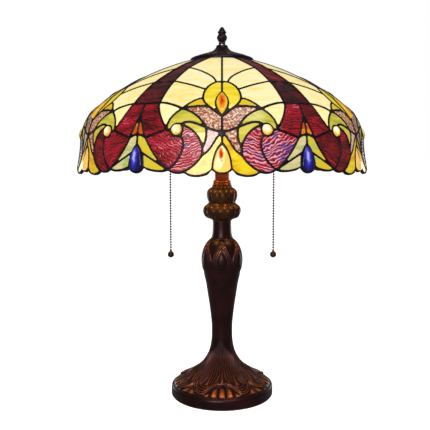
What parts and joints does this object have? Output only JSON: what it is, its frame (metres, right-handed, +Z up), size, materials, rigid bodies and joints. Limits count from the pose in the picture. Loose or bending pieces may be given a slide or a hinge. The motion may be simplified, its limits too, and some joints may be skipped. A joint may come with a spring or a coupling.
{
  "type": "leaded glass table lamp",
  "caption": "Table lamp with a domed leaded-glass shade on a cast bronze-finish stem and round foot, pull-chain lamp holders and a turned finial.",
  "frame": {"origin": "centre of the underside of the felt under the foot, on the surface it stands on", "axes": "+Z up along the stem; -Y faces the front repeat of the shade; the pull chains hang at +X and -X"},
  "size_m": [0.4584, 0.4598, 0.595],
  "materials": {
    "amber_art_glass": "streaky art glass, smooth",
    "cream_jewel_glass": "moulded, fire polished",
    "granite_confetti_glass": "mottled granite texture",
    "cream_opalescent_glass": "opalescent, smooth",
    "crimson_ripple_glass": "rippled",
    "blue_jewel_glass": "moulded, fire polished",
    "flame_jewel_glass": "moulded, fire polished",
    "green_streaky_glass": "streaky art glass, smooth",
    "olive_art_glass": "streaky art glass, smooth",
    "amber_jewel_glass": "moulded, fire polished",
    "yellow_art_glass": "streaky art glass, smooth",
    "patinated_solder": "dark patina, satin",
    "plated_steel": "plain plated",
    "antique_brass": "darkened, satin",
    "insulating_fibre": "pressed card",
    "phenolic_plastic": "moulded, satin",
    "plain_brass": "bare",
    "bronzed_metal": "dark bronze finish, satin",
    "copper_tube": "lacquered, satin",
    "black_nylon": "moulded",
    "felt": "napped",
    "dark_bronze": "dark bronze finish, satin",
    "bronzed_casting": "dark bronze with rubbed copper highlights, satin",
    "raw_cast_iron": "as cast",
    "bulb_solder": "tinned",
    "bulb_cap_metal": "rolled thread",
    "frosted_bulb_glass": "frosted"
  },
  "bodies": {
    "lamp": {"amber_glass": "amber_art_glass", "base_nut": "plated_steel", "base_washer": "plated_steel", "bead_jewels": "cream_jewel_glass", "bell_mouths": "antique_brass", "centre_contacts": "plain_brass", "cluster_body": "bronzed_metal", "cluster_lid": "bronzed_metal", "confetti_glass": "granite_confetti_glass", "copper_sleeve": "copper_tube", "cord_bushing": "black_nylon", "cream_glass": "cream_opalescent_glass", "crimson_glass": "crimson_ripple_glass", "crown_ring": "bronzed_metal", "drop_jewels": "blue_jewel_glass", "felt_pad": "felt", "flame_jewels": "flame_jewel_glass", "fluted_knop": "bronzed_casting", "foot_casting": "bronzed_casting", "green_glass": "green_streaky_glass", "holder_arms": "antique_brass", "holder_caps": "antique_brass", "holder_liners": "insulating_fibre", "holder_shells": "antique_brass", "iron_weight": "raw_cast_iron", "lamp_pipe": "plated_steel", "lead_lattice": "patinated_solder", "leaf_casting": "bronzed_casting", "lobed_knop": "bronzed_casting", "neck_ring": "bronzed_casting", "olive_glass": "olive_art_glass", "oval_jewels": "amber_jewel_glass", "pipe_nut": "plated_steel", "rod_nuts": "plated_steel", "screw_shells": "plain_brass", "shade_rod": "plated_steel", "shade_spider": "bronzed_metal", "switch_blocks": "phenolic_plastic", "vase_cap": "dark_bronze", "yellow_glass": "yellow_art_glass"},
    "right_link": {"right_pull_link": "antique_brass"},
    "right_lever": {"right_switch_lever": "plated_steel"},
    "right_knuckle": {"right_chain_knuckle": "antique_brass"},
    "right_chain": {"right_bead_chain": "antique_brass", "right_chain_ball": "antique_brass"},
    "right_bulb_end": {"right_bulb_tip": "bulb_solder"},
    "right_bulb": {"right_bulb_screw": "bulb_cap_metal", "right_bulb_globe": "frosted_bulb_glass"},
    "left_link": {"left_pull_link": "antique_brass"},
    "left_lever": {"left_switch_lever": "plated_steel"},
    "left_knuckle": {"left_chain_knuckle": "antique_brass"},
    "left_chain": {"left_bead_chain": "antique_brass", "left_chain_ball": "antique_brass"},
    "left_bulb_end": {"left_bulb_tip": "bulb_solder"},
    "left_bulb": {"left_bulb_screw": "bulb_cap_metal", "left_bulb_globe": "frosted_bulb_glass"},
    "finial_seat": {"finial_washer": "plain_brass"},
    "finial": {"finial": "dark_bronze"}
  },
  "joints": [
    {"name": "right_chain_pull", "type": "slide", "parent": "lamp", "child": "right_link", "axis": [0.4226, 0, -0.9063], "range_m": [0, 0.009], "stiffness_N_per_m": 350, "springref_m": -0.008},
    {"name": "right_lever_turn", "type": "hinge", "parent": "lamp", "child": "right_lever", "pos_m": [0.0643, 0, 0.39639], "axis": [0, 1, 0], "range_deg": [0, 50.5]},
    {"name": "right_chain_swing", "type": "hinge", "parent": "right_link", "child": "right_knuckle", "pos_m": [0.0835, 0, 0.37886], "axis": [0, -1, 0], "range_deg": [-16, 30]},
    {"name": "right_chain_sway", "type": "hinge", "parent": "right_knuckle", "child": "right_chain", "pos_m": [0.0835, 0, 0.37886], "axis": [1, 0, 0], "range_deg": [-30, 30]},
    {"name": "right_bulb_out", "type": "slide", "parent": "lamp", "child": "right_bulb_end", "axis": [0.9063, 0, 0.4226], "range_m": [0, 0.0159]},
    {"name": "right_bulb_turn", "type": "hinge", "parent": "right_bulb_end", "child": "right_bulb", "pos_m": [0.0527, 0, 0.3976], "axis": [0.9063, 0, 0.4226], "range_deg": [0, 1584]},
    {"name": "left_chain_pull", "type": "slide", "parent": "lamp", "child": "left_link", "axis": [-0.4226, 0, -0.9063], "range_m": [0, 0.009], "stiffness_N_per_m": 350, "springref_m": -0.008},
    {"name": "left_lever_turn", "type": "hinge", "parent": "lamp", "child": "left_lever", "pos_m": [-0.0643, 0, 0.39639], "axis": [0, -1, 0], "range_deg": [0, 50.5]},
    {"name": "left_chain_swing", "type": "hinge", "parent": "left_link", "child": "left_knuckle", "pos_m": [-0.0835, 0, 0.37886], "axis": [0, 1, 0], "range_deg": [-16, 30]},
    {"name": "left_chain_sway", "type": "hinge", "parent": "left_knuckle", "child": "left_chain", "pos_m": [-0.0835, 0, 0.37886], "axis": [1, 0, 0], "range_deg": [-30, 30]},
    {"name": "left_bulb_out", "type": "slide", "parent": "lamp", "child": "left_bulb_end", "axis": [-0.9063, 0, 0.4226], "range_m": [0, 0.0159]},
    {"name": "left_bulb_turn", "type": "hinge", "parent": "left_bulb_end", "child": "left_bulb", "pos_m": [-0.0527, 0, 0.3976], "axis": [-0.9063, 0, 0.4226], "range_deg": [0, 1584]},
    {"name": "finial_lift", "type": "slide", "parent": "lamp", "child": "finial_seat", "axis": [0, 0, 1], "range_m": [0, 0.01149]},
    {"name": "finial_turn", "type": "hinge", "parent": "finial_seat", "child": "finial", "pos_m": [0, 0, 0.58], "axis": [0, 0, 1], "range_deg": [0, 4400]}
  ],
  "couplings": [
    {"joint": "right_lever_turn", "follows": "right_chain_pull", "rad_per_m": 97},
    {"joint": "right_bulb_turn", "follows": "right_bulb_out", "rad_per_m": 1731.6},
    {"joint": "left_lever_turn", "follows": "left_chain_pull", "rad_per_m": 97},
    {"joint": "left_bulb_turn", "follows": "left_bulb_out", "rad_per_m": 1731.6},
    {"joint": "finial_turn", "follows": "finial_lift", "rad_per_m": 6679}
  ]
}
